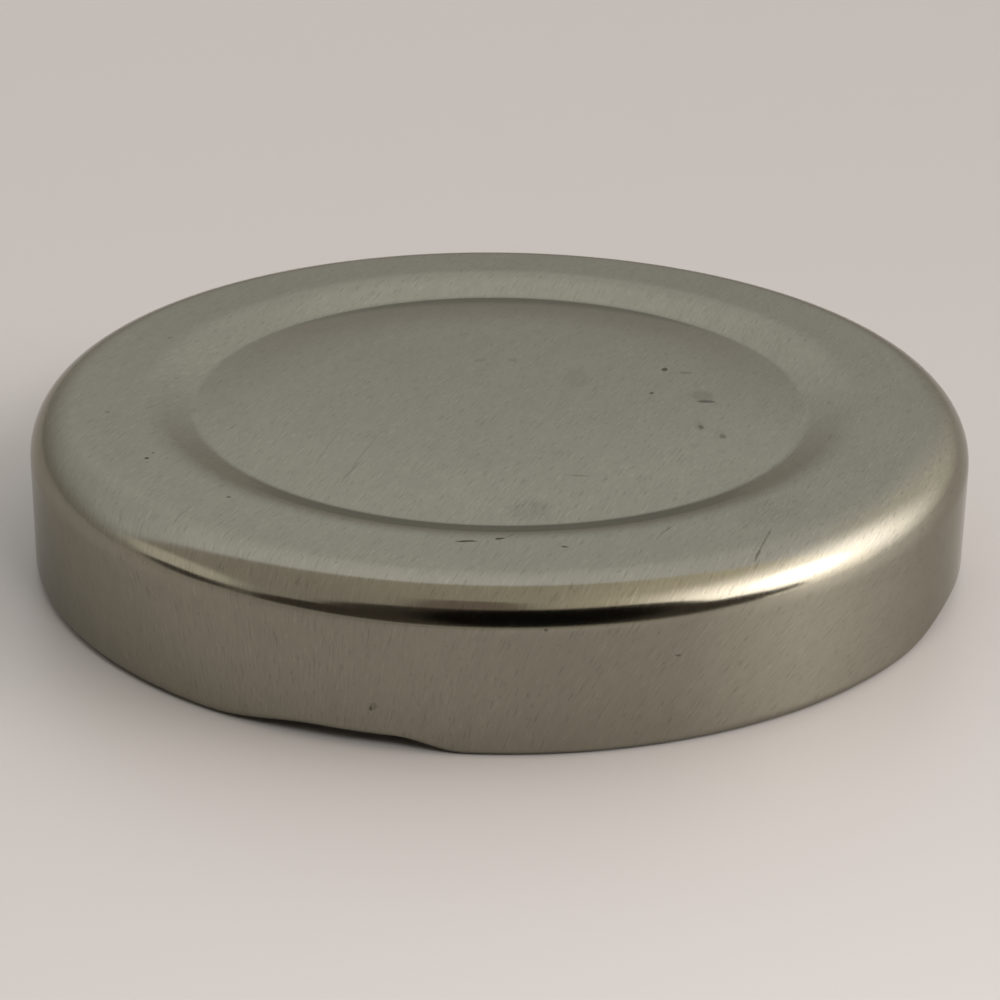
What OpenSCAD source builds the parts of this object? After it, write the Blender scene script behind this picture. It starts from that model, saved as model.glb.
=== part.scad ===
// Twist-off lug cap for a wide-neck bottle or jar, pressed from one disc of tinplate,
// with a ring of sealing compound flowed into the channel under its crest.
// The axis is Z and the cap stands on its rim, on the plane z = 0.

/* [Cap] */
// Outside diameter of the skirt
cap_d = 55.6; // [48:0.1:64]
// Height from the foot of the rim to the crest
cap_h = 9.75; // [9:0.05:14]
// Thickness of the tinplate sheet
sheet_t = 0.2; // [0.16:0.01:0.24]
// Outside radius of the shoulder between crest and skirt
shoulder_r = 2.8; // [2:0.1:4]

/* [Panel] */
// Width of the crest, from the outside of the skirt to the top of the step
crest_w = 7; // [6.4:0.1:8]
// Fall of the crest over this width
crest_fall = 0.17; // [0.05:0.01:0.3]
// Width of the step down from the crest to the groove
step_w = 2.55; // [2.2:0.05:3.5]
// Depth of the groove under the crest
recess_depth = 0.73; // [0.6:0.01:1]
// Radius of the bend at the top of the step
crest_bend = 5.3; // [3:0.1:6]
// Radius of the bend in the groove
groove_bend = 1.3; // [1:0.1:2.5]
// Width of the panel's sloping border inside the groove
border_w = 5; // [4:0.1:6]
// Rise of the sloping border
border_rise = 0.6; // [0.4:0.02:0.7]
// Rise of the panel's middle over the groove
crown_h = 0.79; // [0.75:0.01:0.95]

/* [Rim] */
// Outside diameter of the rolled curl
curl_d = 1.3; // [1.2:0.05:1.6]
// Angle through which the sheet turns in the curl
curl_turn = 300; // [285:1:305]

/* [Lugs] */
// Number of lugs
lug_count = 4; // [3:1:6]
// Height of the rim's foot over the table at a lug
lug_rise = 0.8; // [0.4:0.05:1.1]
// Reach of a lug, from the outside of the skirt to its tip
lug_reach = 2.1; // [1.8:0.05:2.3]
// Thickness of the flattened roll at a lug
lug_t = 0.84; // [0.76:0.01:0.95]
// Upward slope of a lug towards its tip
lug_tilt = 8; // [0:1:12]
// Length of a lug's level part along the rim
lug_level = 4; // [2:0.1:5]
// Length of the ramp before the level part
lug_run_in = 7.3; // [5:0.1:9]
// Length of the ramp after the level part
lug_run_out = 3.9; // [3:0.1:6]
// Turn of the first lug's middle from the front, towards the right if positive
lug_bearing = -15.5; // [-45:0.5:45]

/* [Sealing ring] */
// Thickness of the compound under the crest
seal_t = 0.62; // [0.4:0.02:0.7]
// Outer radius of the level track that the mouth of the bottle seats on
seal_track_r = 25.2; // [23:0.1:25.6]
// Height to which the compound climbs the shoulder below its track
seal_climb = 0.6; // [0.3:0.05:1]

/* [Hidden] */

$fn = 180;
// Turn of the section's line between one point and the next, in degrees
bend_step = 15;
// Shortest straight run in the curl
least_run = 0.08;
// Steps round a lug in its run-in, level part and run-out
run_in_steps = 6;
level_steps = 2;
run_out_steps = 4;
// How far a lug's skin runs on into the sheet around it, and how far inside the sheet's faces
joint_overlap = 0.3;
joint_inset = 0.05;
overrun = 1;

cap_r = cap_d / 2;
skirt_mid_r = cap_r - sheet_t / 2;
crest_mid_z = cap_h - sheet_t / 2;
step_r = cap_r - crest_w;
groove_r = step_r - step_w;
groove_mid_z = crest_mid_z - recess_depth;
border_r = groove_r - border_w;
curl_mid_r = (curl_d - sheet_t) / 2;
lug_mid_r = (lug_t - sheet_t) / 2;
// The skirt ends and the rim begins a little over the lugs
rim_top_z = lug_rise + lug_t + sheet_t * 3 + lug_reach * sin(lug_tilt);

function deg(radians) = radians * 180 / PI;
function deg_along_rim(length) = deg(length / cap_r);
function unit(v) = v / norm(v);
function mix(a, b, share) = a + (b - a) * share;
function arc(centre, radius, from, to, step) =
    let (n = max(2, ceil(abs(to - from) / step)))
    [for (i = [0:n]) let (a = mix(from, to, i / n)) centre + radius * [cos(a), sin(a)]];

// Round at the middle point of three, where two straight lines turn, as points along the line
function round_corner(before, corner, after, radius, step) =
    let (
        u = unit(corner - before),
        v = unit(after - corner),
        turn = atan2(u[0] * v[1] - u[1] * v[0], u * v),
        side = sign(turn),
        start = corner - u * radius * tan(abs(turn) / 2),
        centre = start + side * radius * [-u[1], u[0]],
        from = atan2(start[1] - centre[1], start[0] - centre[0])
    )
    arc(centre, radius, from, from + turn, step);

// Middle line of the sheet from the axis, over the crown, groove, step and shoulder, to the rim's top.
// The crown is one flat arc, and a second one leads from it into the sloping border.
crown_break_r = border_r * 0.4;
crown_slope = atan((crown_h - border_rise) / (border_r - crown_break_r));
crown_bend = (crown_break_r - 0.2) / tan(crown_slope / 2);
border_slope = atan(border_rise / border_w);
border_bend = border_r * 0.16 / tan((border_slope - crown_slope) / 2);
knee = [
    [0, groove_mid_z + crown_h],
    [crown_break_r, groove_mid_z + crown_h],
    [border_r, groove_mid_z + border_rise],
    [groove_r, groove_mid_z],
    [step_r, crest_mid_z],
    [skirt_mid_r, crest_mid_z - crest_fall],
    [skirt_mid_r, rim_top_z]
];
knee_bend = [crown_bend, border_bend, groove_bend, crest_bend, shoulder_r - sheet_t / 2];
knee_step = [crown_slope / 3, border_slope / 4, bend_step / 2, bend_step / 3, bend_step];
press_line = concat(
    [knee[0]],
    [for (i = [0:4])
        each round_corner(knee[i], knee[i + 1], knee[i + 2], knee_bend[i], knee_step[i])],
    [knee[6]]
);

// Middle line of the rim below rim_top_z. lug is 0 in the round curl and 1 in the flattened lug.
// The roll keeps its length of sheet, so what a lug reaches inwards comes off its folded edge.
// cut is an angle that is taken off the end of the roll.
function roll_length(mid_r, turn) = mid_r * turn * PI / 180;
function rim_line(lug, cut = 0) =
    let (
        mid_r = mix(curl_mid_r, lug_mid_r, lug),
        rise = lug_rise * lug,
        tilt = lug_tilt * lug,
        tail = (curl_turn - 270) * (1 - lug),
        under = max(least_run, (lug_reach - lug_t) / cos(lug_tilt) * lug),
        spare = rise + mid_r - curl_mid_r + roll_length(curl_mid_r, curl_turn)
            - roll_length(mid_r, 270 + tilt + tail) - under,
        back = max(least_run, spare),
        centre_1 = [skirt_mid_r - mid_r, rise + sheet_t / 2 + mid_r],
        inwards = [-cos(tilt), sin(tilt)],
        centre_2 = centre_1 + under * inwards,
        centre_3 = centre_2 - back * inwards
    )
    concat(
        [[skirt_mid_r, rim_top_z]],
        roll_arc(centre_1, mid_r, 0, -90 - tilt, 3),
        roll_arc(centre_2, mid_r, -90 - tilt, -270 - tilt, 6),
        roll_arc(centre_3, mid_r, -270 - tilt, -270 - tilt - max(tail, 1) + cut, 1)
    );
function roll_arc(centre, radius, from, to, n) =
    [for (i = [0:n]) let (a = mix(from, to, i / n)) centre + radius * [cos(a), sin(a)]];

// Unit normals to the left of a line of points
function normals(line) =
    let (last = len(line) - 1)
    [for (i = [0:last])
        let (
            along_in = unit(line[max(i, 1)] - line[max(i, 1) - 1]),
            along_out = unit(line[min(i, last - 1) + 1] - line[min(i, last - 1)]),
            along = unit(along_in + along_out),
            stretch = 1 / sqrt((1 + along_in * along_out) / 2)
        )
        stretch * [-along[1], along[0]]];
function offset_line(line, distances) =
    let (n = normals(line))
    [for (i = [0:len(line) - 1])
        let (p = line[i] + n[i] * distances[i])
        [line[i][0] == 0 ? 0 : p[0], p[1]]];
function reversed(list) = [for (i = [len(list) - 1:-1:0]) list[i]];
function even(value, line) = [for (p = line) value];

// The line runs on from the press line into the plain curl, without the point where they join
plain_rim = rim_line(0);
whole_line = concat(
    [for (i = [0:len(press_line) - 2]) press_line[i]],
    [for (i = [1:len(plain_rim) - 1]) plain_rim[i]]
);
outside_line = offset_line(whole_line, even(sheet_t / 2, whole_line));
inside_line = offset_line(whole_line, even(-sheet_t / 2, whole_line));

module shell_section() {
    polygon(concat(outside_line, reversed(inside_line)));
}

// Stations of one lug: angle from the middle of its level part, and how far it is formed there.
// The first and the last stand in the plain rim, past the ends of the window that is cut for the lug.
lug_from = -deg_along_rim(lug_level / 2 + lug_run_in);
lug_to = deg_along_rim(lug_level / 2 + lug_run_out);
function ramp(share) = (1 - cos(180 * share)) / 2;
joint_deg = deg_along_rim(joint_overlap);
lug_stations = concat(
    [[lug_from - joint_deg, 0]],
    [for (i = [0:run_in_steps])
        [mix(lug_from, -deg_along_rim(lug_level / 2), i / run_in_steps), ramp(i / run_in_steps)]],
    [for (i = [1:level_steps - 1])
        [deg_along_rim(lug_level) * (i / level_steps - 0.5), 1]],
    [for (i = [0:run_out_steps])
        [mix(deg_along_rim(lug_level / 2), lug_to, i / run_out_steps), 1 - ramp(i / run_out_steps)]],
    [[lug_to + joint_deg, 0]]
);

// A station at either end of a lug stands inside the plain rim, on all of its faces
function at_joint(station) = station < 2 || station > len(lug_stations) - 3;
joint_cut = deg(joint_inset / curl_mid_r);

// Half of the sheet's thickness at each point of a station's line
function half_sheet(station, line) =
    [for (i = [0:len(line) - 1]) sheet_t / 2 - (at_joint(station) || i < 2 ? joint_inset : 0)];
function lug_loop(station) =
    let (
        line = concat(
            [[skirt_mid_r, rim_top_z + joint_overlap]],
            rim_line(lug_stations[station][1], at_joint(station) ? joint_cut : 0)
        ),
        half = half_sheet(station, line),
        ring = concat(offset_line(line, half), reversed(offset_line(line, -half)))
    )
    [for (p = ring)
        let (a = lug_stations[station][0])
        [p[0] * cos(a), p[0] * sin(a), p[1]]];

// One lug as a skin through its stations, closed by the sheet's section at both ends
module lug() {
    loops = [for (s = [0:len(lug_stations) - 1]) lug_loop(s)];
    m = len(loops[0]);
    last = len(loops) - 1;
    sides = [for (s = [0:last - 1], i = [0:m - 1])
        let (a = s * m + i, b = s * m + (i + 1) % m)
        each [[a, b + m, b], [a, a + m, b + m]]];
    ends = [for (s = [0, last], i = [0:m / 2 - 2])
        let (a = s * m + i, b = s * m + m - 1 - i)
        s == 0 ? [a, a + 1, b - 1, b] : [a, b, b - 1, a + 1]];
    polyhedron([for (l = loops) each l], concat(sides, ends));
}

// What is cut from the plain rim to make room for a lug
module lug_window() {
    rotate([0, 0, lug_from])
        rotate_extrude(angle = lug_to - lug_from)
            translate([cap_r - lug_reach - overrun, -overrun])
                square([lug_reach + 2 * overrun, rim_top_z + overrun]);
}

module at_each_lug() {
    for (i = [0:lug_count - 1])
        rotate([0, 0, 360 / lug_count * i - 90 + lug_bearing])
            children();
}

module cap_shell() {
    color("silver") {
        difference() {
            rotate_extrude() shell_section();
            at_each_lug() lug_window();
        }
        at_each_lug() lug();
    }
}

// The channel under the crest, bounded above by the inside of the sheet
seal_z = cap_h - sheet_t - seal_t;
module sheet_inside() {
    polygon(concat(
        [for (p = inside_line) if (p[1] > rim_top_z + 0.01) p],
        [[cap_r - sheet_t, rim_top_z], [0, rim_top_z]]
    ));
}

// Free face of the compound: a level track that climbs the shoulder at its outer edge
module compound_section() {
    climb_r = (pow(cap_r - seal_track_r, 2) + pow(seal_climb, 2)) / (2 * seal_climb);
    polygon(concat(
        [[groove_r, cap_h], [groove_r, seal_z], [seal_track_r, seal_z]],
        arc([seal_track_r, seal_z - climb_r], climb_r, 90,
            90 - asin((cap_r - seal_track_r) / climb_r), 4),
        [[cap_r, cap_h]]
    ));
}

module sealing_ring() {
    color("ivory")
        rotate_extrude()
            intersection() {
                sheet_inside();
                compound_section();
            }
}

cap_shell();
sealing_ring();
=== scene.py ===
"""Twist-off lug cap: the pressed tinplate shell, its sealing ring and a small studio.

Everything is in metres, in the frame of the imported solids: Z is the cap's axis, the rim stands
on z = 0 and -Y is the front.
"""

import math

import bpy
import numpy as np
from bpy.props import FloatProperty, FloatVectorProperty, IntProperty, PointerProperty
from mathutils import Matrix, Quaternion, Vector


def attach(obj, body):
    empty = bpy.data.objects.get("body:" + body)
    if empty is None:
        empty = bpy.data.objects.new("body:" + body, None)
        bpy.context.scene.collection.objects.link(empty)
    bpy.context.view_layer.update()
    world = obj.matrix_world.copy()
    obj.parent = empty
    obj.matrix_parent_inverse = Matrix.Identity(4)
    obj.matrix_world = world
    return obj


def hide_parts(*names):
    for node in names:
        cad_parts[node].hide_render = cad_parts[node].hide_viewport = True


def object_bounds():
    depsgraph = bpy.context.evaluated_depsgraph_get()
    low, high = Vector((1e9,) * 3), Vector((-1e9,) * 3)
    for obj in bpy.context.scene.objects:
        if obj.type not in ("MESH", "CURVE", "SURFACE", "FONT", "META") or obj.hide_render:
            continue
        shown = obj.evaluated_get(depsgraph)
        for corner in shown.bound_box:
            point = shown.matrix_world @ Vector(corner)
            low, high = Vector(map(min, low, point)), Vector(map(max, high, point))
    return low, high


bl_info = {
    "name": "Twist-off cap",
    "version": (1, 0, 0),
    "blender": (4, 5, 0),
    "location": "3D View > Sidebar > Cap",
    "description": "Pressed tinplate lug cap with its sealing ring and a studio",
    "category": "Add Mesh",
}

MM = 0.001

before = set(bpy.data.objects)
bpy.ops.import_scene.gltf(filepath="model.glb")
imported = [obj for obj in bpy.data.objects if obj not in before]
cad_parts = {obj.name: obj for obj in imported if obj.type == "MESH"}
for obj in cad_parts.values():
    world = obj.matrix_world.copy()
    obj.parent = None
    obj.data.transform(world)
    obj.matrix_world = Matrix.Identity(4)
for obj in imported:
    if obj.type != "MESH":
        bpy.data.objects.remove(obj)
SOLID_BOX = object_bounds()
CAP_RADIUS = SOLID_BOX[1][0]

# The photograph's view: the camera's distance in cap radii, its rise and its roll, and in
# pixels its focal length, the picture's width and the place of the foot's centre
VIEW_DISTANCE = 6.4154
VIEW_RISE = math.radians(24.374)
VIEW_ROLL = math.radians(0.7005)
FOCAL_PIXELS = 2931.5
PHOTO_PIXELS = 1000
FOOT_PIXEL = (498.625, 538.612)

# How finely the meshes are made: the turn between two points of a bend, the extra points on
# a straight and down the skirt as shares of it, the ring's facets, the distance at which
# points are merged, and how many points are matched to the section at a time
BEND_STEP = math.radians(3.5)
ON_STRAIGHT = (0.12, 0.5, 0.88)
DOWN_SKIRT = (0.3, 0.6, 0.9)
RING_FACETS = 240
MERGE = 0.004 * MM
BATCH = 4096

# Edges that bend by more than this stay sharp
SHELL_CREASE = math.radians(35)
RING_CREASE = math.radians(40)

# Where the crown turns over into the border: shares of the border's inner radius, and the
# middle that stays level
CROWN_SHARE = 0.4
BORDER_TURN = 0.16
CROWN_LEVEL = 0.2 * MM

# The shortest straight stretch that is left in the rolled rim
LEAST_RUN = 0.08 * MM

# The compound's clearance from the sheet, its bead's width and the bead's round
RING_GAP = 0.004 * MM
RING_BEAD = 0.9 * MM
RING_ROUND = 0.8 * MM

# Parts of the sheet's grain, in mm across and along it
HAIR = (0.12, 0.9)
STROKE = (0.15, 1.1)
BAND = (0.9, 4)
CLOUD = (9, 12)
FLECK = (0.3, 0.45)
SCRATCH = (0.1, 0.85)
INNER_HAIR = (0.14, 2.4)

# The marks' ragged edges: the size of the unevenness in mm and how far it moves an edge
RAGGED = (0.35, 0.35)
RAGGED_REACH = 0.16 * MM

# The studio, in metres
FLOOR_SIZE = 6.0
LAMP_PLACE = (0.05, -0.13, 0.1)
LAMP_SIZE = 0.05


# Sizes and finishes. In the functions, s is the shape, f the finish and st the studio.


def length(name, text, default_mm, low=0.0, high=100.0):
    return FloatProperty(
        name=name,
        description=text,
        default=default_mm * MM,
        min=low * MM,
        max=high * MM,
        unit="LENGTH",
        precision=5,
    )


def turn(name, text, degrees):
    return FloatProperty(
        name=name, description=text, default=math.radians(degrees), subtype="ANGLE"
    )


def share(name, text, default, high=1.0):
    return FloatProperty(name=name, description=text, default=default, min=0.0, max=high)


def colour(name, text, default):
    return FloatVectorProperty(
        name=name, description=text, default=default, size=3, min=0.0, max=1.0, subtype="COLOR"
    )


class CapShape(bpy.types.PropertyGroup):
    """Sizes of the pressed shell and of its ring of sealing compound"""

    diameter: length("Diameter", "Outside diameter of the skirt", 55.6)
    height: length("Height", "From the foot of the rim to the crest", 9.75)
    sheet: length("Sheet", "Thickness of the tinplate sheet", 0.2)
    shoulder: length("Shoulder radius", "Outside radius between crest and skirt", 2.8)
    crest_width: length("Crest width", "From the skirt to the top of the step", 7.0)
    crest_fall: length("Crest fall", "Fall of the crest over its width", 0.17)
    step_width: length("Step width", "From the crest down to the groove", 2.55)
    recess_depth: length("Recess depth", "Depth of the groove under the crest", 0.73)
    crest_bend: length("Crest bend", "Radius at the top of the step", 5.3)
    groove_bend: length("Groove bend", "Radius in the groove", 1.3)
    border_width: length("Border width", "The panel's sloping border", 5.0)
    border_rise: length("Border rise", "Rise of the sloping border", 0.6)
    crown: length("Crown", "Rise of the panel's middle over the groove", 0.79)
    curl: length("Curl", "Outside diameter of the rolled rim", 1.3)
    curl_turn: turn("Curl turn", "Angle through which the sheet turns in the curl", 300)
    lugs: IntProperty(name="Lugs", description="Number of lugs", default=4, min=0, max=8)
    lug_rise: length("Lug rise", "Height of the rim's foot at a lug", 0.8)
    lug_reach: length("Lug reach", "From the skirt to the lug's tip", 2.1)
    lug_thick: length("Lug thickness", "Thickness of the flattened roll", 0.84)
    lug_tilt: turn("Lug tilt", "Upward slope of a lug towards its tip", 8)
    lug_level: length("Lug length", "Length of the level part of a lug", 4.0)
    lug_run_in: length("Run-in", "Length of the ramp before the level part", 7.3)
    lug_run_out: length("Run-out", "Length of the ramp after the level part", 3.9)
    lug_bearing: turn("Lug bearing", "Turn of the first lug from the front", -15.5)
    ring_thick: length("Ring thickness", "Compound under the crest", 0.62)
    ring_track: length("Ring track", "Outer radius of the level track", 25.2)
    ring_climb: length("Ring climb", "Height of the compound's run down the shoulder", 0.6)
    turns: IntProperty(name="Facets", description="Facets round the cap", default=360, min=60)


class CapFinish(bpy.types.PropertyGroup):
    """Colours and surfaces of the tinplate and the compound"""

    metal: colour("Metal", "Tinplate under its clear lacquer", (0.272, 0.258, 0.212))
    edge: colour("Edge tint", "Share of the metal's brightening at its edge", (0.72, 0.71, 0.68))
    gloss: share("Roughness", "Roughness of the lacquered tinplate", 0.135)
    streak: share("Across the grain", "How much the grain spreads reflections across it", 0.6)
    lean: turn("Lean", "Turn of the sheet's grain from the Y axis", -22)
    grain_depth: length("Grain depth", "Depth of the fine brush marks", 0.0005)
    # How dark the nicks, scratches and scuffs are, and the dents' painted shade
    damage_and_dent_shade_darkness: share("Wear", "How dark the nicks and scratches are", 0.85)
    inside: colour("Inside", "Lacquer inside the cap", (0.56, 0.44, 0.2))
    compound: colour("Compound", "Sealing compound", (0.78, 0.76, 0.68))


class CapStudio(bpy.types.PropertyGroup):
    """Floor and light"""

    floor: colour("Floor", "Pale table", (0.5, 0.475, 0.465))
    sky: share("Sky", "Strength of the light from above", 1.0, 4.0)
    glow: share("Side light", "Strength of the bright light on the right", 3.2, 20.0)
    lamp: share("Lamp", "Power of the small lamp over the table, in watts", 0.12, 5.0)


# Small helpers


def deselect():
    if bpy.context.object and bpy.context.object.mode != "OBJECT":
        bpy.ops.object.mode_set(mode="OBJECT")
    bpy.ops.object.select_all(action="DESELECT")


def make_active(obj):
    deselect()
    obj.select_set(True)
    bpy.context.view_layer.objects.active = obj


def coordinates(mesh):
    flat = np.empty(len(mesh.vertices) * 3)
    mesh.vertices.foreach_get("co", flat)
    return flat.reshape(-1, 3)


def move_to(mesh, points):
    mesh.vertices.foreach_set("co", np.asarray(points, float).ravel())
    mesh.update()


def unit(v):
    return v / np.linalg.norm(v)


def direction(angle):
    return np.array([math.cos(angle), math.sin(angle)])


def arc(centre, radius, start, end, steps):
    return [centre + radius * direction(a) for a in np.linspace(start, end, steps + 1)]


def straight(a, b, shares):
    return [a + (b - a) * s for s in shares]


def rounded(corners, radii, step):
    """The line through corners, each turned with its radius, in arcs of about one step each."""
    corners = [np.array(c, float) for c in corners]
    line = [corners[0]]
    for i in range(1, len(corners) - 1):
        u = unit(corners[i] - corners[i - 1])
        v = unit(corners[i + 1] - corners[i])
        bend = math.atan2(u[0] * v[1] - u[1] * v[0], u @ v)
        start = corners[i] - u * radii[i] * math.tan(abs(bend) / 2)
        centre = start + math.copysign(radii[i], bend) * np.array([-u[1], u[0]])
        first = math.atan2(start[1] - centre[1], start[0] - centre[0])
        steps = max(4, math.ceil(abs(bend) / step))
        line += straight(line[-1], start, ON_STRAIGHT)
        line += arc(centre, radii[i], first, first + bend, steps)
    line += straight(line[-1], corners[-1], ON_STRAIGHT[:2])
    return line + [corners[-1]]


def offset(line, distance):
    """The line moved to its left by distance, mitred at its corners."""
    line = np.array(line)
    ways = np.diff(line, axis=0)
    ways /= np.linalg.norm(ways, axis=1)[:, None]
    before = np.vstack([ways[:1], ways])
    after = np.vstack([ways, ways[-1:]])
    mean = before + after
    mean /= np.linalg.norm(mean, axis=1)[:, None]
    stretch = 1 / np.sqrt((1 + (before * after).sum(1)) / 2)
    return line + np.stack([-mean[:, 1], mean[:, 0]], 1) * (stretch * distance)[:, None]


# The sheet's section


def rim_top(s):
    return s.lug_rise + s.lug_thick + 3 * s.sheet + s.lug_reach * math.sin(s.lug_tilt)


def press_line(s):
    """Middle of the sheet from the axis over crown, groove, step and shoulder to the rim."""
    out = s.diameter / 2 - s.sheet / 2
    crest_z = s.height - s.sheet / 2
    step_r = s.diameter / 2 - s.crest_width
    groove_r = step_r - s.step_width
    groove_z = crest_z - s.recess_depth
    border_r = groove_r - s.border_width
    crown_r = border_r * CROWN_SHARE
    crown_slope = math.atan((s.crown - s.border_rise) / (border_r - crown_r))
    border_slope = math.atan(s.border_rise / s.border_width)
    corners = [
        (0, groove_z + s.crown),
        (crown_r, groove_z + s.crown),
        (border_r, groove_z + s.border_rise),
        (groove_r, groove_z),
        (step_r, crest_z),
        (out, crest_z - s.crest_fall),
        (out, rim_top(s)),
    ]
    radii = [
        0,
        (crown_r - CROWN_LEVEL) / math.tan(crown_slope / 2),
        border_r * BORDER_TURN / math.tan((border_slope - crown_slope) / 2),
        s.groove_bend,
        s.crest_bend,
        s.shoulder - s.sheet / 2,
    ]
    return rounded(corners, radii, BEND_STEP)


def rim_line(s, lug):
    """Middle of the sheet below the rim's top: the round curl at lug 0, a flattened lug at 1."""
    out = s.diameter / 2 - s.sheet / 2
    curl_r = (s.curl - s.sheet) / 2
    radius = curl_r + ((s.lug_thick - s.sheet) / 2 - curl_r) * lug
    rise = s.lug_rise * lug
    tilt = s.lug_tilt * lug
    tail = (s.curl_turn - math.radians(270)) * (1 - lug)
    under = max(LEAST_RUN, (s.lug_reach - s.lug_thick) / math.cos(s.lug_tilt) * lug)
    roll = curl_r * s.curl_turn
    spare = rise + radius - curl_r + roll - radius * (math.radians(270) + tilt + tail) - under
    back = max(LEAST_RUN, spare)
    quarter = math.pi / 2
    inwards = np.array([-math.cos(tilt), math.sin(tilt)])
    first = np.array([out - radius, rise + s.sheet / 2 + radius])
    second = first + under * inwards
    third = second - back * inwards
    top = np.array([out, rim_top(s)])
    line = [top]
    start = first + np.array([radius, 0])
    line += straight(top, start, DOWN_SKIRT)
    line += arc(first, radius, 0, -quarter - tilt, 9)
    line += straight(line[-1], second + radius * direction(-quarter - tilt), (0.5,))
    line += arc(second, radius, -quarter - tilt, -3 * quarter - tilt, 18)
    line += straight(line[-1], third + radius * direction(-3 * quarter - tilt), (0.5,))
    end = -3 * quarter - tilt - max(tail, math.radians(1))
    line += arc(third, radius, -3 * quarter - tilt, end, 3)
    return line


def outside_line(s, lug):
    middle = press_line(s)[:-1] + rim_line(s, lug)[1:]
    line = offset(middle, s.sheet / 2)
    line[0, 0] = 0
    return line


def lug_at(s, bearing):
    """How far the rim is formed into a lug at a bearing about Z, from 0 to 1."""
    if not s.lugs:
        return 0.0
    pitch = 2 * math.pi / s.lugs
    first = -math.pi / 2 + s.lug_bearing
    away = (bearing - first + pitch / 2) % pitch - pitch / 2
    along = away * s.diameter / 2
    level = s.lug_level / 2
    ramp = s.lug_run_in if along < 0 else s.lug_run_out
    past = min(1.0, max(0.0, (abs(along) - level) / ramp))
    return (1 + math.cos(math.pi * past)) / 2


def spin_line(name, line, turns):
    """A mesh object made by spinning an open line of (radius, height) round Z.

    The line is a circle's chain of points, which is opened by deleting one of them.
    """
    deselect()
    bpy.ops.mesh.primitive_circle_add(vertices=len(line) + 1, radius=1, fill_type="NOTHING")
    obj = bpy.context.object
    obj.name = obj.data.name = name
    bpy.ops.object.mode_set(mode="EDIT")
    bpy.ops.mesh.select_mode(type="VERT")
    bpy.ops.mesh.select_all(action="DESELECT")
    bpy.ops.object.mode_set(mode="OBJECT")
    obj.data.vertices[len(line)].select = True
    bpy.ops.object.mode_set(mode="EDIT")
    bpy.ops.mesh.delete(type="VERT")
    bpy.ops.object.mode_set(mode="OBJECT")
    move_to(obj.data, [(r, 0.0, z) for r, z in line])
    bpy.ops.object.mode_set(mode="EDIT")
    bpy.ops.mesh.select_all(action="SELECT")
    bpy.ops.mesh.spin(
        steps=turns, angle=2 * math.pi, center=(0, 0, 0), axis=(0, 0, 1), use_auto_merge=False
    )
    bpy.ops.mesh.select_all(action="SELECT")
    bpy.ops.mesh.remove_doubles(threshold=MERGE)
    bpy.ops.mesh.normals_make_consistent(inside=False)
    bpy.ops.object.mode_set(mode="OBJECT")
    return obj


def places_on_line(mesh, line):
    """For each vertex of a spun line, the index of its point on the line and its bearing."""
    points = coordinates(mesh)
    radius = np.hypot(points[:, 0], points[:, 1])
    flat = np.stack([radius, points[:, 2]], 1)
    line = np.asarray(line)
    index = np.empty(len(flat), int)
    for start in range(0, len(flat), BATCH):
        part = flat[start : start + BATCH, None] - line[None]
        index[start : start + BATCH] = np.argmin((part**2).sum(2), 1)
    return index, np.arctan2(points[:, 1], points[:, 0])


def shape_rim(obj, s, line):
    """Moves the spun vertices of the rim where the curl is flattened into lugs."""
    index, bearing = places_on_line(obj.data, line)
    points = coordinates(obj.data)
    key = np.round(bearing, 5)
    for b in np.unique(key):
        lug = lug_at(s, float(b))
        if lug <= 0:
            continue
        here = key == b
        section = outside_line(s, lug)[index[here]]
        points[here, 0] = section[:, 0] * math.cos(b)
        points[here, 1] = section[:, 0] * math.sin(b)
        points[here, 2] = section[:, 1]
    move_to(obj.data, points)
    return index, bearing


def lay_flat_map(obj, line, index, bearing):
    """UVs in metres on the flat disc that the sheet was pressed from, so the grain follows it."""
    steps = np.linalg.norm(np.diff(np.asarray(line), axis=0), axis=1)
    reach = np.concatenate([[0], np.cumsum(steps)])[index]
    flat = np.stack([reach * np.cos(bearing), reach * np.sin(bearing)], 1)
    layer = obj.data.uv_layers.new(name="blank")
    loops = np.empty(len(obj.data.loops), int)
    obj.data.loops.foreach_get("vertex_index", loops)
    layer.data.foreach_set("uv", flat[loops].ravel())


def face_upwards(obj):
    """Turns the mesh's faces over if the one at its top looks down."""
    top = max(obj.data.polygons, key=lambda p: p.center.z)
    if top.normal.z < 0:
        make_active(obj)
        bpy.ops.object.mode_set(mode="EDIT")
        bpy.ops.mesh.select_all(action="SELECT")
        bpy.ops.mesh.flip_normals()
        bpy.ops.object.mode_set(mode="OBJECT")


# Finishes


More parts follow.
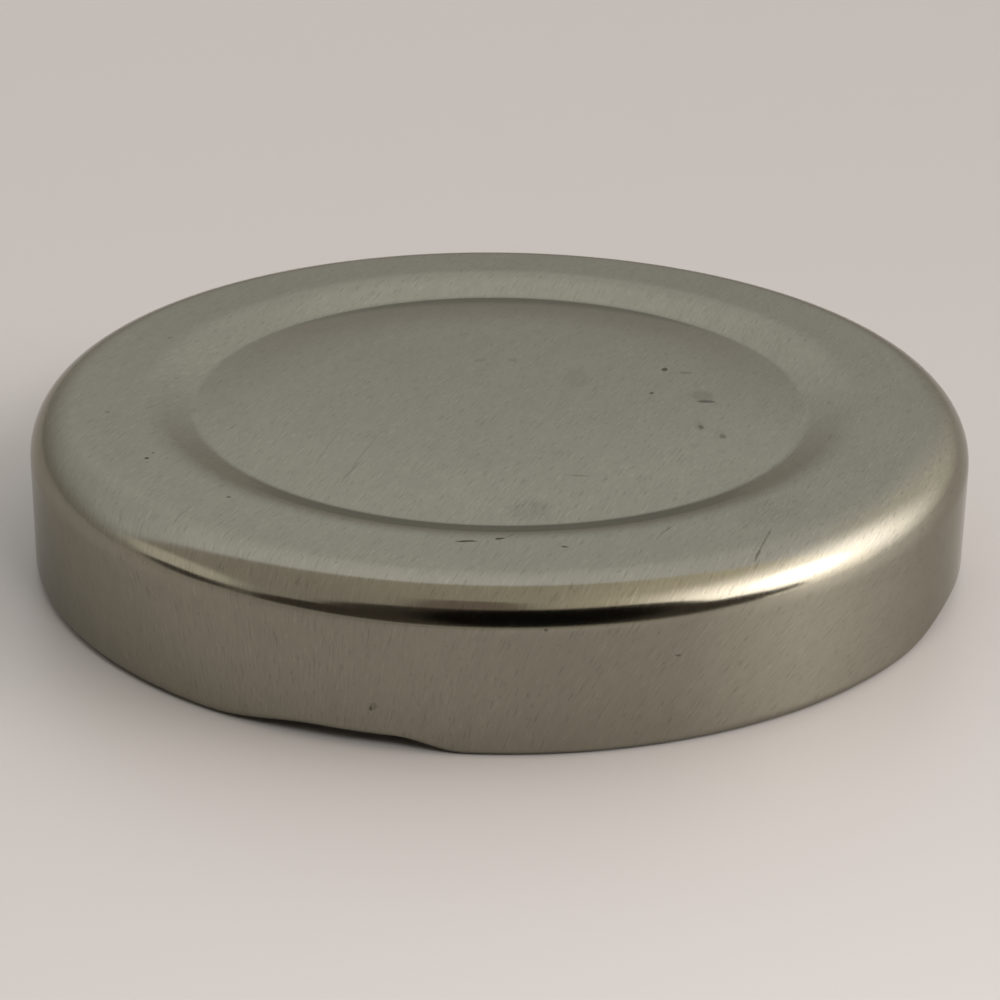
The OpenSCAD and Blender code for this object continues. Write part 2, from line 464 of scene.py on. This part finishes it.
class Nodes:
    """A short way to write the nodes of a material or of the world."""

    def __init__(self, tree):
        self.tree = tree
        tree.nodes.clear()

    def add(self, kind, **settings):
        node = self.tree.nodes.new("ShaderNode" + kind)
        for key, value in settings.items():
            setattr(node, key, value)
        return node

    def put(self, socket, value):
        if isinstance(value, bpy.types.NodeSocket):
            self.tree.links.new(value, socket)
        else:
            socket.default_value = value

    def math(self, kind, a, b=0.0):
        node = self.add("Math", operation=kind)
        self.put(node.inputs[0], a)
        self.put(node.inputs[1], b)
        return node.outputs[0]

    def product(self, *values):
        result = values[0]
        for value in values[1:]:
            result = self.math("MULTIPLY", result, value)
        return result

    def between(self, value, low, high, out_low=0.0, out_high=1.0):
        node = self.add("MapRange", interpolation_type="SMOOTHSTEP", clamp=True)
        for socket, v in zip(node.inputs, (value, low, high, out_low, out_high)):
            self.put(socket, v)
        return node.outputs[0]

    def mix(self, factor, a, b):
        node = self.add("Mix", data_type="RGBA")
        self.put(node.inputs[0], factor)
        self.put(node.inputs[6], a if isinstance(a, bpy.types.NodeSocket) else (*a, 1))
        self.put(node.inputs[7], b if isinstance(b, bpy.types.NodeSocket) else (*b, 1))
        return node.outputs[2]

    def in_frame(self, vector, size, turn=0.0, place=(0, 0)):
        """Coordinates in a frame that stands at a place, turned, in units of its size in mm."""
        node = self.add("Mapping", vector_type="TEXTURE")
        self.put(node.inputs["Vector"], vector)
        node.inputs["Location"].default_value = (place[0] * MM, place[1] * MM, 0)
        node.inputs["Rotation"].default_value = (0, 0, turn)
        node.inputs["Scale"].default_value = (size[0] * MM, size[1] * MM, MM)
        return node.outputs[0]

    def noise(self, vector, detail=1.0, roughness=0.5, scale=1.0, flat=True, output=0):
        node = self.add("TexNoise", noise_dimensions="2D" if flat else "3D")
        self.put(node.inputs["Vector"], vector)
        node.inputs["Scale"].default_value = scale
        node.inputs["Detail"].default_value = detail
        node.inputs["Roughness"].default_value = roughness
        return node.outputs[output]

    def vector(self, kind, a, b=(0, 0, 0), scale=1.0, output=0):
        node = self.add("VectorMath", operation=kind)
        self.put(node.inputs[0], a)
        self.put(node.inputs[1], b)
        if kind == "SCALE":
            self.put(node.inputs["Scale"], scale)
        return node.outputs[output]


def new_material(name):
    """A material with its nodes and its shader."""
    material = bpy.data.materials.new(name)
    material.use_nodes = True
    n = Nodes(material.node_tree)
    shader = n.add("BsdfPrincipled")
    n.put(n.add("OutputMaterial").inputs[0], shader.outputs[0])
    return material, n, shader


def shade(rgb, share):
    return tuple(min(1.0, c * share) for c in rgb)


def bump(n, shader, height, distance, strength=1.0):
    node = n.add("Bump")
    node.inputs["Strength"].default_value = strength
    node.inputs["Distance"].default_value = distance
    n.put(node.inputs["Height"], height)
    n.put(shader.inputs["Normal"], node.outputs[0])


# Nicks, dents and scratches, as measured in the photograph, on the flat disc that the sheet
# was pressed from: x, y, half length and half width in mm, turn in degrees, and how plain.
# The dents among these marks are painted shade: a darker spot with a soft darker halo and no
# change of shape. The nicks and scratches are wear.
MARKS = (
    (-1.71, -21.96, 0.68, 0.14, 2, 1.0),
    (0.06, -21.58, 0.32, 0.14, 15, 1.0),
    (0.58, -21.18, 0.42, 0.05, 53, 0.6),
    (3.51, -22.44, 0.2, 0.13, -19, 0.9),
    (11.64, -5.19, 0.19, 0.42, 0, 0.7),
    (11.6, -5.1, 0.36, 0.8, 0, 0.14),
    (12.84, -6.3, 0.24, 0.38, 10, 0.55),
    (12.7, -6.1, 0.42, 0.7, 0, 0.12),
    (12.14, -1.26, 0.66, 0.24, 5, 0.8),
    (12.0, -0.4, 0.8, 1.0, 0, 0.24),
    (9.94, 3.78, 0.22, 0.36, -10, 1.0),
    (11.22, 3.37, 0.5, 0.22, 4, 0.4),
    (8.98, -0.22, 0.14, 0.22, -30, 0.9),
    (4.46, -12.51, 0.75, 0.07, 0, 0.45),
    (4.65, 1.92, 0.8, 2.0, 0, 0.1),
    (14.1, -21.34, 2.09, 0.06, 72, 0.45),
    (13.7, -22.5, 0.7, 0.09, 72, 0.65),
    (8.93, -20.25, 0.78, 0.06, 58, 0.45),
    (-1.21, 4.75, 0.4, 0.35, 0, 0.2),
    (0.74, 4.81, 0.35, 0.3, 0, 0.22),
    (-19.86, -11.12, 0.2, 0.14, 0, 1.0),
    (-19.6, -10.41, 0.12, 0.12, 0, 0.7),
    (-14.78, -16.49, 0.17, 0.14, 10, 0.7),
    (-22.95, -4.24, 0.13, 0.14, 0, 0.5),
    (-20.65, 8.17, 0.15, 0.2, 0, 0.4),
    (-7.82, -10.14, 3.8, 0.05, 73, 0.22),
    (-8.23, -11.86, 1.57, 0.07, 68, 0.3),
    (-17.21, -18.86, 1.03, 0.05, 66, 0.3),
    (-9.82, -9.0, 2.6, 0.045, 76, 0.25),
    (-15.46, -5.15, 0.5, 0.06, 63, 0.4),
    (2.59, -28.83, 0.14, 0.1, 0, 0.5),
    (10.48, -29.2, 0.22, 0.06, 14, 0.6),
    (-8.02, -33.1, 0.12, 0.16, 0, 0.8),
    (-7.8, -33.0, 0.3, 0.26, 0, 0.3),
)

# Patches of short scuffs: x, y, half length, half width in mm, turn in degrees, and how plain.
SCUFFS = (
    (1.7, -16.5, 1.7, 1.5, 20, 0.42),
    (14.7, -17.5, 3.4, 1.5, 43, 0.32),
)


def soft_oval(n, place, mark, core):
    """How far a place is in a mark: how plain the mark is in its core, falling to 0 outside."""
    x, y, half_length, half_width, turn, plain = mark
    frame = n.in_frame(place, (half_length, half_width), math.radians(turn), (x, y))
    return n.between(n.vector("LENGTH", frame, output=1), core, 1.1, plain, 0.0)


def damage_and_dent_shade(n, blank, lean):
    """How much of the surface is a nick, a scratch, a scuff or a dent's painted shade, from 0 to
    1.
    """
    loose = n.noise(n.in_frame(blank, RAGGED), detail=2, output=1)
    loose = n.vector("SUBTRACT", loose, (0.5, 0.5, 0.5))
    place = n.vector("ADD", blank, n.vector("SCALE", loose, scale=RAGGED_REACH))
    damage_and_dent_shade_share = 0.0
    for mark in MARKS:
        damage_and_dent_shade_share = n.math("MAXIMUM", damage_and_dent_shade_share, soft_oval(n, place, mark, core=0.55))
    scratched = n.noise(n.in_frame(blank, SCRATCH, lean), detail=2, roughness=0.6)
    scratched = n.between(scratched, 0.52, 0.68, 0.25, 1.0)
    for scuff in SCUFFS:
        patch = soft_oval(n, place, scuff, core=0.3)
        damage_and_dent_shade_share = n.math("MAXIMUM", damage_and_dent_shade_share, n.product(patch, scratched))
    return damage_and_dent_shade_share


def tinplate(f):
    """Clear-lacquered tinplate with the fine straight grain of the rolled sheet."""
    material, n, shader = new_material("lacquered_tinplate")
    blank = n.add("UVMap", uv_map="blank").outputs[0]
    hair = n.noise(n.in_frame(blank, HAIR, f.lean), detail=2, roughness=0.6)
    stroke = n.noise(n.in_frame(blank, STROKE, f.lean, (7, 5)), detail=1)
    band = n.noise(n.in_frame(blank, BAND, f.lean), detail=2)
    cloud = n.noise(n.in_frame(blank, CLOUD, f.lean), detail=2)
    fleck = n.noise(n.in_frame(blank, FLECK, f.lean, (3, 9)), detail=2)
    tone = n.math("ADD", n.product(hair, 0.5), n.product(band, 0.3))
    tone = n.math("ADD", tone, n.product(cloud, 0.2))
    sheet = n.mix(n.between(tone, 0.34, 0.66), shade(f.metal, 0.95), shade(f.metal, 1.05))
    sheet = n.mix(n.between(stroke, 0.24, 0.34, 0.26, 0.0), sheet, shade(f.metal, 0.4))
    sheet = n.mix(n.between(stroke, 0.64, 0.76, 0.0, 0.22), sheet, shade(f.metal, 1.5))
    sheet = n.mix(n.between(fleck, 0.22, 0.3, 0.2, 0.0), sheet, shade(f.metal, 0.3))
    damage_and_dent_shade_share = damage_and_dent_shade(n, blank, f.lean)
    # Darkens the base colour at the marks: the nicks, scratches and scuffs as wear, the dents as
    # painted shade
    sheet = n.mix(n.product(damage_and_dent_shade_share, f.damage_and_dent_shade_darkness), sheet, shade(f.metal, 0.12))
    n.put(shader.inputs["Base Color"], sheet)
    rough = n.between(hair, 0.3, 0.7, f.gloss * 0.9, f.gloss * 1.12)
    n.put(shader.inputs["Roughness"], n.math("ADD", rough, n.product(damage_and_dent_shade_share, 0.25)))
    bump(n, shader, tone, f.grain_depth)
    shader.inputs["Metallic"].default_value = 1.0
    shader.inputs["Specular Tint"].default_value = (*f.edge, 1)
    shader.inputs["Anisotropic"].default_value = f.streak
    shader.inputs["Anisotropic Rotation"].default_value = f.lean / (2 * math.pi) % 1.0
    along = n.add("Tangent", direction_type="UV_MAP", uv_map="blank").outputs[0]
    n.put(shader.inputs["Tangent"], along)
    return material


def inner_lacquer(f):
    """Gold-toned protective lacquer on the inside of the sheet."""
    material, n, shader = new_material("inner_lacquer")
    blank = n.add("UVMap", uv_map="blank").outputs[0]
    hair = n.noise(n.in_frame(blank, INNER_HAIR, f.lean), detail=2)
    sheet = n.mix(n.between(hair, 0.3, 0.7), shade(f.inside, 0.92), shade(f.inside, 1.06))
    n.put(shader.inputs["Base Color"], sheet)
    n.put(shader.inputs["Roughness"], n.between(hair, 0.3, 0.7, 0.24, 0.3))
    shader.inputs["Metallic"].default_value = 1.0
    return material


def compound(f):
    """Matt, slightly mottled sealing compound."""
    material, n, shader = new_material("sealing_compound")
    place = n.add("TexCoord").outputs["Object"]
    fine = n.noise(place, 3, scale=2600, flat=False)
    soft = n.noise(place, 2, scale=120, flat=False)
    mottle = n.mix(soft, shade(f.compound, 0.94), shade(f.compound, 1.03))
    n.put(shader.inputs["Base Color"], mottle)
    n.put(shader.inputs["Roughness"], n.between(soft, 0.3, 0.7, 0.42, 0.52))
    bump(n, shader, fine, 0.02 * MM, 0.5)
    return material


# Pieces


class CAP_OT_shell(bpy.types.Operator):
    """Make the pressed tinplate shell with its curl and lugs"""

    bl_idname = "cap.make_shell"
    bl_label = "Shell"

    def execute(self, context):
        s = context.scene.cap_shape
        f = context.scene.cap_finish
        line = outside_line(s, 0.0)
        shell = spin_line("tinplate_shell", line, s.turns)
        index, bearing = shape_rim(shell, s, line)
        lay_flat_map(shell, line, index, bearing)
        face_upwards(shell)
        shell.data.materials.append(tinplate(f))
        shell.data.materials.append(inner_lacquer(f))
        make_active(shell)
        wall = shell.modifiers.new("sheet", "SOLIDIFY")
        wall.thickness = s.sheet
        wall.offset = -1
        wall.use_even_offset = True
        wall.material_offset = 1
        wall.material_offset_rim = 0
        bpy.ops.object.modifier_apply(modifier=wall.name)
        bpy.ops.object.shade_smooth_by_angle(angle=SHELL_CREASE)
        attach(shell, "root")
        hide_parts("cap_shell")
        return {"FINISHED"}


class CAP_OT_ring(bpy.types.Operator):
    """Make the ring of sealing compound under the crest"""

    bl_idname = "cap.make_ring"
    bl_label = "Sealing ring"

    def execute(self, context):
        s = context.scene.cap_shape
        f = context.scene.cap_finish
        ring = spin_line("compound_ring", ring_line(s), RING_FACETS)
        ring.data.materials.append(compound(f))
        make_active(ring)
        bpy.ops.object.shade_smooth_by_angle(angle=RING_CREASE)
        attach(ring, "root")
        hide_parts("sealing_ring")
        return {"FINISHED"}


def ring_line(s):
    """Section of the compound: a closed line along the sheet's inside and back along its face."""
    inside = offset(press_line(s), -s.sheet / 2 - RING_GAP)
    out = s.diameter / 2
    face_z = s.height - s.sheet - s.ring_thick
    groove_r = out - s.crest_width - s.step_width
    climb_r = ((out - s.ring_track) ** 2 + s.ring_climb**2) / (2 * s.ring_climb)

    def face_height(r):
        past = max(0.0, r - s.ring_track)
        return face_z - climb_r + math.sqrt(max(0.0, climb_r**2 - past**2))

    kept = [(r, z) for r, z in inside if r > groove_r and z > face_height(r)]
    inner_r, top_z = kept[0]
    bead_r = inner_r + RING_BEAD
    face = [(r, face_height(r)) for r in np.linspace(kept[-1][0], s.ring_track, 9)[1:]]
    face += [(r, face_z) for r in np.linspace(s.ring_track, bead_r, 7)[1:]]
    for a in np.linspace(0, math.pi / 2, 7)[1:-1]:
        z = face_z + (top_z - face_z) * (1 - math.cos(a))
        face.append((bead_r - RING_ROUND * math.sin(a), z))
    return kept + face + [kept[0]]


class CAP_OT_studio(bpy.types.Operator):
    """Make the floor, the light and the camera"""

    bl_idname = "cap.make_studio"
    bl_label = "Studio"

    def execute(self, context):
        st = context.scene.cap_studio
        make_floor(st)
        make_room(context.scene, st)
        make_lamp(st)
        make_camera(context.scene)
        context.scene.view_settings.view_transform = "Standard"
        return {"FINISHED"}


def make_floor(st):
    """A pale table with a satin face, on which the cap stands."""
    deselect()
    bpy.ops.mesh.primitive_plane_add(size=FLOOR_SIZE, location=(0, 0, 0))
    floor = bpy.context.object
    floor.name = floor.data.name = "floor"
    material, _, shader = new_material("pale_table")
    shader.inputs["Base Color"].default_value = (*st.floor, 1)
    shader.inputs["Roughness"].default_value = 0.4
    floor.data.materials.append(material)


class Room:
    """The light of the room by its direction, laid on in layers.

    side is in degrees about Z, 0 at the front, 90 on the right and 180 behind the cap, and
    height is in degrees over the table. across and ahead are the direction's X and Y.
    """

    def __init__(self, scene):
        world = bpy.data.worlds.new("room")
        scene.world = world
        world.use_nodes = True
        self.n = n = Nodes(world.node_tree)
        self.background = n.add("Background")
        n.put(n.add("OutputWorld").inputs[0], self.background.outputs[0])
        split = n.add("SeparateXYZ")
        n.put(split.inputs[0], n.add("TexCoord").outputs["Generated"])
        self.across, self.ahead, up = split.outputs
        degrees = 180 / math.pi
        self.height = n.product(n.math("ARCSINE", up), degrees)
        towards = n.product(self.ahead, -1.0)
        self.side = n.product(n.math("ARCTAN2", self.across, towards), degrees)
        self.light = None

    def lay(self, share, rgb):
        """Lays a colour over the light, by its share."""
        self.light = self.n.mix(share, self.light, rgb)

    def stretch(self, rise, fall):
        """A share that rises between two sides and falls between two others."""
        n = self.n
        return n.product(n.between(self.side, *rise), n.between(self.side, *fall, 1.0, 0.0))

    def away(self, centre, half, power=2.0):
        """How far a direction is from an oval's centre, 1 at its edge; power makes it squarer."""
        n = self.n
        parts = []
        for angle, middle, reach in zip((self.side, self.height), centre, half):
            part = n.math("DIVIDE", n.math("SUBTRACT", angle, middle), reach)
            parts.append(n.math("POWER", n.math("ABSOLUTE", part), power))
        return n.math("ADD", *parts)

    def oval(self, centre, half, fade, power=2.0):
        """A share of 1 in an oval, which falls to 0 between the two distances of fade."""
        return self.n.between(self.away(centre, half, power), *fade, 1.0, 0.0)

    def finish(self, strength):
        self.n.put(self.background.inputs["Color"], self.light)
        self.background.inputs["Strength"].default_value = strength


def light_from_above(room):
    """Light that grows with the height over the table, a little warm near the table."""
    levels = [(0, 0.4), (5, 0.445), (10, 0.53), (13, 0.61), (16, 0.66), (21, 0.755)]
    levels += [(24.4, 0.82), (28, 0.86), (38, 0.89), (46, 0.96), (54, 1.0), (72, 1.07)]
    ramp = room.n.add("ValToRGB")
    while len(ramp.color_ramp.elements) < len(levels):
        ramp.color_ramp.elements.new(0.5)
    for element, (height, level) in zip(ramp.color_ramp.elements, levels):
        warm = 0.08 * max(0.0, 1 - height / 18)
        element.position = height / 90
        element.color = (level * (1 + warm), level, level * (1 - 1.6 * warm), 1)
    room.n.put(ramp.inputs[0], room.n.math("DIVIDE", room.height, 90.0))
    room.light = ramp.outputs[0]


def sides_behind(room):
    """A slightly dimmer corner on the left and a brighter side on the right."""
    n = room.n
    corner = room.stretch((-170.0, -140.0), (-125.0, -100.0))
    room.lay(n.product(corner, n.between(room.height, 35.0, 60.0, 0.13, 0.0)), (0.0, 0.0, 0.0))
    bright = n.product(
        room.stretch((90.0, 115.0), (130.0, 168.0)),
        n.between(room.height, 30.0, 60.0, 1.0, 0.0),
        n.between(room.height, -4.0, 14.0, 0.45, 1.0),
    )
    room.lay(bright, (1.14, 1.1, 1.0))


def front_half(room):
    """The dimmer, warm half in front, with a pale patch over dark strips on its left."""
    n = room.n
    dim = n.mix(n.between(room.across, -0.6, 0.1), (0.54, 0.5, 0.44), (0.67, 0.62, 0.51))
    dim = n.mix(n.between(room.across, 0.0, 0.55), dim, (1.06, 0.97, 0.78))
    room.lay(n.between(room.ahead, 0.07, 0.15, 1.0, 0.0), dim)
    room.lay(room.oval((-80.0, 17.0), (20.0, 12.0), (0.3, 1.1)), (1.0, 0.96, 0.84))
    room.lay(room.oval((-62.0, 7.0), (26.0, 4.5), (0.6, 1.2), 2.5), (0.3, 0.27, 0.23))
    room.lay(room.oval((-76.0, 6.0), (13.0, 4.5), (0.5, 1.2)), (0.09, 0.08, 0.07))


def side_light(room, glow):
    """The bright light on the right, strongest in its core."""
    n = room.n
    light = n.product(
        room.stretch((28.0, 62.0), (93.0, 134.0)),
        n.between(room.height, 24.0, 57.0, glow, 0.0),
        n.between(room.height, -6.0, 22.0, 0.2, 1.0),
    )
    core = room.away((78.0, 24.0), (17.0, 12.0))
    light = n.math("ADD", light, n.between(core, 0.2, 1.2, 0.7 * glow, 0.0))
    room.light = n.vector("ADD", room.light, n.vector("SCALE", (1.06, 1.0, 0.99), scale=light))


def dark_front(room):
    """The dark stretch at the front, which makes the black band on the shoulder."""
    n = room.n
    depth = room.away((10.0, 22.0), (28.0, 20.0))
    gloom = n.mix(n.between(depth, 0.7, 1.5), (0.006, 0.005, 0.004), (0.085, 0.07, 0.055))
    room.lay(room.oval((-8.0, 44.0), (16.0, 14.0), (0.8, 1.2), 4.0), (0.32, 0.26, 0.22))
    slope = n.between(room.side, 5.0, 50.0, 1.0, 3.0)
    over_table = n.between(n.math("ADD", room.height, slope), 2.5, 5.0)
    stretches = (
        ((4.0, 8.0), (47.0, 32.0)),
        ((4.0, 8.0), (61.0, 13.0)),
        ((50.0, 7.0), (24.0, 4.5)),
    )
    for centre, half in stretches:
        dark = room.oval(centre, half, (0.9, 1.1), 3.0)
        room.lay(n.product(dark, over_table), gloom)


def make_room(scene, st):
    """A plain soft room that the metal mirrors: bright above, dimmer and partly dark in front."""
    room = Room(scene)
    light_from_above(room)
    sides_behind(room)
    front_half(room)
    side_light(room, st.glow)
    dark_front(room)
    room.finish(st.sky)


def make_lamp(st):
    """A small lamp over the table in front, which no piece mirrors."""
    bpy.ops.object.light_add(type="AREA", location=LAMP_PLACE)
    lamp = bpy.context.object
    lamp.name = lamp.data.name = "table_lamp"
    lamp.data.size = LAMP_SIZE
    lamp.data.energy = st.lamp
    lamp.visible_glossy = False


def make_camera(scene):
    """The photograph's view, with the foot's centre on its pixel."""
    data = bpy.data.cameras.new("camera")
    data.sensor_width = 36.0
    data.lens = FOCAL_PIXELS * data.sensor_width / PHOTO_PIXELS
    data.shift_x = (PHOTO_PIXELS / 2 - FOOT_PIXEL[0]) / PHOTO_PIXELS
    data.shift_y = (FOOT_PIXEL[1] - PHOTO_PIXELS / 2) / PHOTO_PIXELS
    data.clip_start = 0.01
    data.clip_end = 20
    camera = bpy.data.objects.new("camera", data)
    scene.collection.objects.link(camera)
    away = Vector((0, -math.cos(VIEW_RISE), math.sin(VIEW_RISE)))
    camera.location = away * VIEW_DISTANCE * CAP_RADIUS
    camera.rotation_mode = "QUATERNION"
    look = (-away).to_track_quat("-Z", "Y")
    camera.rotation_quaternion = look @ Quaternion((0, 0, 1), VIEW_ROLL)
    scene.camera = camera


class CAP_PT_panel(bpy.types.Panel):
    """Lists the pieces and their sizes"""

    bl_idname = "CAP_PT_panel"
    bl_label = "Twist-off cap"
    bl_space_type = "VIEW_3D"
    bl_region_type = "UI"
    bl_category = "Cap"

    def draw(self, context):
        column = self.layout.column()
        for operator in (CAP_OT_shell, CAP_OT_ring, CAP_OT_studio):
            column.operator(operator.bl_idname)
        for group in ("cap_shape", "cap_finish", "cap_studio"):
            values = getattr(context.scene, group)
            for name in type(values).__annotations__:
                column.prop(values, name)


CLASSES = (
    CapShape,
    CapFinish,
    CapStudio,
    CAP_OT_shell,
    CAP_OT_ring,
    CAP_OT_studio,
    CAP_PT_panel,
)


def register():
    for each in CLASSES:
        bpy.utils.register_class(each)
    bpy.types.Scene.cap_shape = PointerProperty(type=CapShape)
    bpy.types.Scene.cap_finish = PointerProperty(type=CapFinish)
    bpy.types.Scene.cap_studio = PointerProperty(type=CapStudio)


def unregister():
    del bpy.types.Scene.cap_studio
    del bpy.types.Scene.cap_finish
    del bpy.types.Scene.cap_shape
    for each in reversed(CLASSES):
        bpy.utils.unregister_class(each)


def main():
    register()
    bpy.ops.cap.make_studio()
    bpy.ops.cap.make_shell()
    bpy.ops.cap.make_ring()


if __name__ == "__main__":
    main()
